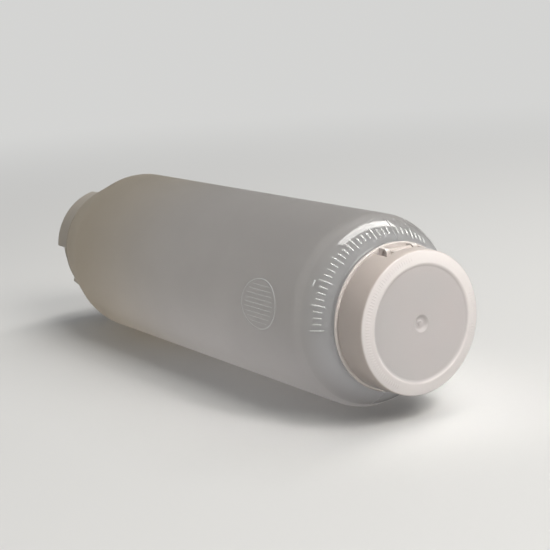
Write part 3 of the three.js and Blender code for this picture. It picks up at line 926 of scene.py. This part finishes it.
# The lid's face and its outer wall are painted darker than the collar's plastic, a painted shade;
# its ring keeps nearly the collar's paler colour.
lid_white_painted_shade = closure_plastic(
    "pinkish_white_lid_painted_shade", (0.635, 0.612, 0.6), (0.669, 0.62, 0.608), share=0.4,
    painted_wall_shade=(0.63, 0.558, 0.51), ring=(0.91, 0.865, 0.845),
)
lid.data.materials.append(lid_white_painted_shade)
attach(lid, "lid")
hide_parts("flip_lid")

build = bmesh.new()
turns = [8 + 2.55 * k for k in range(57)] + [-72 - 2.55 * k for k in range(16)]
radii = (23.1, 23.5, 24.0, 24.5, 24.9)
heights = (0.01, 0.1, 0.12, 0.1, 0.01)
for turn in turns:
    bead_along(
        build,
        [on_axis(FRONT_ROOT + ring_face(r) - 0.04, r, turn) for r in radii],
        [on_axis(FRONT_ROOT + ring_face(r) + h, r, turn) for r, h in zip(radii, heights)],
        width=0.0005, closed=False,
    )
marks = mesh_piece("lid_ring_ticks", build, crease=60)
marks.data.materials.append(lid_white_painted_shade)
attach(marks, "lid")


# Refill cap. Injection-moulded in polypropylene too, of a milky beige that is painted darker, a
# painted shade: a flanged drum that screws on the far neck, with three square grip notches in its
# hollow wall for the fingers.

CAP_FACE = 15.5
CAP_RECESS = 14.8
CAP_FLANGE_FRONT = 2.3
CAP_FLANGE_BACK = 0.9


def back_points(points):
    """Profile points given outward from the far shoulder, set in their place along the bottle."""
    return [(BACK_ROOT - along, radius) for along, radius in points]


cap_outside = rounded([
    (CAP_RECESS - 0.5, 0),
    (CAP_RECESS - 0.5, 1.2, 0.5),
    (CAP_RECESS, 2.6, 0.5),
    (CAP_RECESS, 20.5, 0.4),
    (CAP_FACE, 21.1, 0.3),
    (CAP_FACE, 25.9, 1.6),
    (CAP_FLANGE_FRONT, 26.3, 0.4),
    (CAP_FLANGE_FRONT, FLANGE_RADIUS, 0.5),
    (CAP_FLANGE_BACK, FLANGE_RADIUS, 0.5),
    (CAP_FLANGE_BACK, 21.8),
    (1.3, COLLAR_BORE),
], step=0.2)
cap_bore = spaced((1.3, COLLAR_BORE), (12.2, COLLAR_BORE), THREAD_STEP)[1:]
cap_inside = [(13.5, COLLAR_BORE), (13.5, 0)]
NOTCH_TURNS = (109, -11, 229)
NOTCH_HALF = 21
NOTCH_SIDE = 4.0
NOTCH_FLOOR = 22.7
RIM_INSIDE = 21.15
RIM_WIDTH = 4.8
RIM_IN_NOTCH = 1.55
notch_columns = []
for centre in NOTCH_TURNS:
    for edge in (-NOTCH_HALF, NOTCH_HALF):
        notch_columns += [centre + edge + 0.5 * k for k in range(-5, 6)]


def cap_skin(index, x, radius, turn):
    """The drum steps in at each notch, with rounded sides, down to the flange. At the face the
    notch's floor rounds off, and the cap's rim is pressed together above it."""
    along = BACK_ROOT - x
    if index >= len(cap_outside):
        if index < len(cap_outside) + len(cap_bore):
            radius -= thread_height(
                x, turn, first=BACK_ROOT - 11.6, last=BACK_ROOT - 2.0, shift=0.5,
            )
        return x, radius
    inside_notch = max(
        NOTCH_HALF - abs((turn - centre + 180) % 360 - 180) for centre in NOTCH_TURNS
    )
    depth = max(0, min(1, (inside_notch + NOTCH_SIDE / 2) / NOTCH_SIDE))
    depth = depth * depth * (3 - 2 * depth)
    if along > CAP_FLANGE_FRONT + 0.05 and radius > RIM_INSIDE + 0.05:
        floor = NOTCH_FLOOR
        if along > CAP_FACE - 1.7:
            rounding = max(0, along - CAP_FACE + 1.2) * 0.6
            pressed = RIM_INSIDE + (radius - RIM_INSIDE) * RIM_IN_NOTCH / RIM_WIDTH
            floor = min(radius, NOTCH_FLOOR - rounding, pressed)
        radius += (floor - radius) * depth
    return x, radius


cap = turned(
    "refill_cap_moulding", back_points(cap_outside + cap_bore + cap_inside),
    around(144, notch_columns), cap_skin, crease=38,
)
for centre in NOTCH_TURNS:
    hollow = ring_sector(
        BACK_ROOT, -1, inner=NOTCH_FLOOR, outer=24.5, half_angle=36, centre=centre + 60,
        start=-1, end=13.4,
    )
    boolean(cap, hollow, "DIFFERENCE")
recreased(cap, crease=38)
cap.data.materials.clear()
cap.data.materials.append(closure_plastic(
    "milky_beige_cap_painted_shade", (0.61, 0.56, 0.485), (0.63, 0.58, 0.505), share=0.6, gloss=0.35,
))
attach(cap, "cap")
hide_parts("refill_cap")


# Refill seal. A foam disc pressed into the refill cap, in the gasket's material.

seal = turned("foam_seal", back_points(rounded([
    (12.2, 0), (12.2, 20.6, 0.15), (13.2, 20.6, 0.15), (13.2, 0),
], step=0.1)), around(128))
seal.data.materials.append(foam)
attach(seal, "cap_lift")
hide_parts("refill_seal")


# Studio: a plain pale floor that fades into an even background, a long softbox overhead and
# behind, a second one towards the lid, a weak low one that fills in from the near side, and a
# small spotlight on the upper side of the lid. The last two leave no reflection.

BACKGROUND = (0.66, 0.66, 0.65)
FLOOR_FADE = (0.2, 1.1)


def seen_directly(tree):
    """1 for what the camera sees itself, in gloss or through a wall, and 0 for other light."""
    path = tree.nodes.new("ShaderNodeLightPath")
    total = path.outputs["Is Camera Ray"]
    for kind in ("Is Glossy Ray", "Is Transmission Ray"):
        either = tree.nodes.new("ShaderNodeMath")
        either.operation = "MAXIMUM"
        tree.links.new(total, either.inputs[0])
        tree.links.new(path.outputs[kind], either.inputs[1])
        total = either.outputs["Value"]
    return total


build = bmesh.new()
bmesh.ops.create_grid(build, x_segments=1, y_segments=1, size=80)
floor = mesh_piece("floor", build)
pale, tree, shader = material("pale_floor", (0.63, 0.63, 0.62), 0.6)
place = tree.nodes.new("ShaderNodeTexCoord")
away = tree.nodes.new("ShaderNodeVectorMath")
away.operation = "LENGTH"
tree.links.new(place.outputs["Object"], away.inputs[0])
even = node(tree, "ShaderNodeEmission", Color=(*BACKGROUND, 1), Strength=1.0)
share = tree.nodes.new("ShaderNodeMath")
share.operation = "MULTIPLY"
tree.links.new(ranged(tree, away.outputs["Value"], *FLOOR_FADE), share.inputs[0])
tree.links.new(seen_directly(tree), share.inputs[1])
fading = tree.nodes.new("ShaderNodeMixShader")
tree.links.new(share.outputs["Value"], fading.inputs[0])
tree.links.new(shader.outputs["BSDF"], fading.inputs[1])
tree.links.new(even.outputs["Emission"], fading.inputs[2])
tree.links.new(fading.outputs["Shader"], tree.nodes["Material Output"].inputs["Surface"])
floor.data.materials.append(pale)

world = bpy.data.worlds.new("studio")
bpy.context.scene.world = world
world.use_nodes = True
tree = world.node_tree
ambient = tree.nodes["Background"]
ambient.inputs["Color"].default_value = (0.95, 0.97, 1.0, 1)
ambient.inputs["Strength"].default_value = 0.3
backdrop = node(tree, "ShaderNodeBackground", Color=(*BACKGROUND, 1), Strength=1.0)
either = tree.nodes.new("ShaderNodeMixShader")
tree.links.new(seen_directly(tree), either.inputs[0])
tree.links.new(ambient.outputs["Background"], either.inputs[1])
tree.links.new(backdrop.outputs["Background"], either.inputs[2])
tree.links.new(either.outputs["Shader"], tree.nodes["World Output"].inputs["Surface"])


def softbox(name, place, aim, long_way, width, length, watts, colour):
    """A rectangular soft light that looks at a place, its length along a given way."""
    lamp = bpy.data.lights.new(name, "AREA")
    lamp.shape = "RECTANGLE"
    lamp.size = width
    lamp.size_y = length
    lamp.energy = watts
    lamp.color = colour
    back = (Vector(place) - Vector(aim)).normalized()
    across = Vector(long_way).cross(back).normalized()
    turn = Matrix((across, back.cross(across), back)).transposed()
    light = bpy.data.objects.new(name, lamp)
    light.matrix_world = Matrix.Translation(place) @ turn.to_4x4()
    bpy.context.scene.collection.objects.link(light)
    return light


softbox(
    "overhead_strip", place=(0.07, 0.42, 1.12), aim=(0.05, 0, 0.03), long_way=(-0.33, 0.94, 0),
    width=0.2, length=1.4, watts=9.5, colour=(1, 0.98, 0.95),
)
softbox(
    "lid_softbox", place=(0.87, 0.1, 0.83), aim=(0.11, 0, 0.04), long_way=(0, 1, 0),
    width=0.6, length=0.6, watts=6.8, colour=(1, 0.97, 0.93),
)
fill = softbox(
    "low_fill", place=(0.5, -1.1, 0.14), aim=(0.04, 0, 0.03), long_way=(1, 0, 0),
    width=0.25, length=1.0, watts=1.8, colour=(1, 0.98, 0.97),
)
fill.visible_glossy = False
spot = softbox(
    "lid_spot", place=(0.32, 0.06, 0.3), aim=(0.124, 0.012, 0.058), long_way=(0, 1, 0),
    width=0.06, length=0.06, watts=0.0145, colour=(1, 0.98, 0.95),
)
spot.data.spread = math.radians(24)
spot.visible_glossy = False


# Camera at the photograph's place, fitted to the outline of the bottle in it

camera_data = bpy.data.cameras.new("camera")
camera_data.sensor_width = 36
FOCAL_PIXELS = 1433.42
PHOTO_PIXELS = 550
camera_data.lens = camera_data.sensor_width * FOCAL_PIXELS / PHOTO_PIXELS
camera = bpy.data.objects.new("camera", camera_data)
right = Vector((0.5498566, 0.8330570, -0.0606117))
down = Vector((0.1391508, -0.1629147, -0.9767783))
forward = Vector((-0.8235865, 0.5286538, -0.2055002))
facing = Matrix((right, -down, -forward)).transposed()
camera.matrix_world = Matrix.Translation((0.51125, -0.30916, 0.16090)) @ facing.to_4x4()
camera_data.clip_start = 0.01
camera_data.clip_end = 200
bpy.context.scene.collection.objects.link(camera)
bpy.context.scene.camera = camera
bpy.context.scene.view_settings.view_transform = "Standard"
